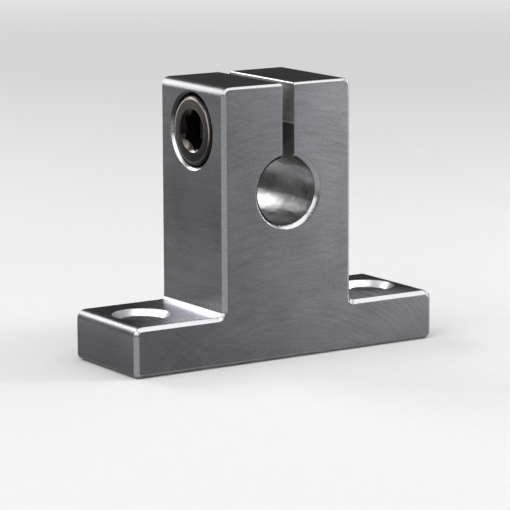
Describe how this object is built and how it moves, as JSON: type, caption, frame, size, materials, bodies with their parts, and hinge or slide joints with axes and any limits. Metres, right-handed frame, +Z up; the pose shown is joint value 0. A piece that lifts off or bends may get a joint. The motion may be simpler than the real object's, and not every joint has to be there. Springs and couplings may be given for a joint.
{
  "type": "shaft support block",
  "caption": "T-shaped aluminium block on a flat base that grips a round shaft in a split bore, drawn shut by a socket head screw across its slot.",
  "frame": {"origin": "middle of the base's underside", "axes": "+X across the base, away from the screw's head; +Y along the shaft; +Z up, from the base to the clamp"},
  "size_m": [0.042, 0.014, 0.0328],
  "materials": {
    "block_aluminium": "bare extruded and milled, satin",
    "screw_steel": "dark warm grey plating, turned marks"
  },
  "bodies": {
    "block": {"support_block": "block_aluminium"},
    "screw": {"clamp_screw": "screw_steel"}
  },
  "joints": [
    {"name": "clamp_screw_turn", "type": "hinge", "parent": "block", "child": "screw", "pos_m": [-0.00895, 0, 0.0271], "axis": [-1, 0, 0], "range_deg": [0, 450]}
  ]
}
